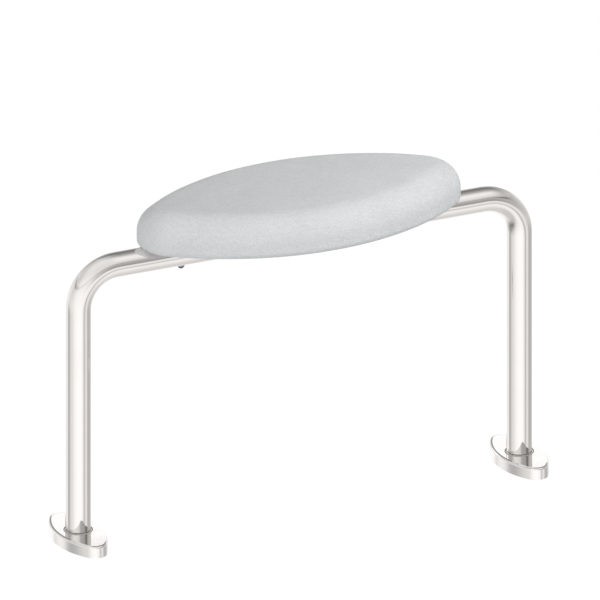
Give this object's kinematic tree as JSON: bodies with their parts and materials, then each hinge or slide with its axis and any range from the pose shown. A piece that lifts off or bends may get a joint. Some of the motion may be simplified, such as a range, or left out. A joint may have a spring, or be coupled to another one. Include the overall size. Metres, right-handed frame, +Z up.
{
  "type": "shower stool",
  "caption": "Floor-fixed shower stool: lens-shaped soft pad bolted on top of a bent steel tube frame with lens-shaped covered feet.",
  "frame": {"origin": "on the floor, midway between the two posts, under the middle of the pad", "axes": "+Z up; +X along the top rail, from the left post to the right post; +Y across the bench, away from the person who looks at its front"},
  "size_m": [0.7018, 0.229, 0.4495],
  "materials": {
    "polished_steel": "mirror-polished stainless steel",
    "cover_steel": "mirror-polished stainless steel sheet",
    "foot_steel": "satin stainless steel",
    "black_rubber": "matt moulded rubber",
    "pad_skin": "light grey grained foam skin, satin",
    "plate_aluminium": "mill finish sheet",
    "insert_brass": "turned",
    "sleeve_steel": "turned stainless steel",
    "bolt_steel": "dark stainless steel"
  },
  "bodies": {
    "frame": {"frame_tube": "polished_steel", "left_foot_plate": "foot_steel", "right_foot_plate": "foot_steel", "left_floor_gasket": "black_rubber", "right_floor_gasket": "black_rubber", "seat_pad": "pad_skin", "seat_plate": "plate_aluminium", "threaded_inserts": "insert_brass", "seat_saddles": "black_rubber", "spacer_sleeves": "sleeve_steel", "seat_bolts": "bolt_steel", "bolt_washers": "foot_steel"},
    "left_cover_body": {"left_cover": "cover_steel", "left_seal_ring": "black_rubber"},
    "right_cover_body": {"right_cover": "cover_steel", "right_seal_ring": "black_rubber"}
  },
  "joints": [
    {"name": "left_cover_lift", "type": "slide", "parent": "frame", "child": "left_cover_body", "axis": [0, 0, 1], "range_m": [0, 0.3]},
    {"name": "right_cover_lift", "type": "slide", "parent": "frame", "child": "right_cover_body", "axis": [0, 0, 1], "range_m": [0, 0.3]}
  ]
}
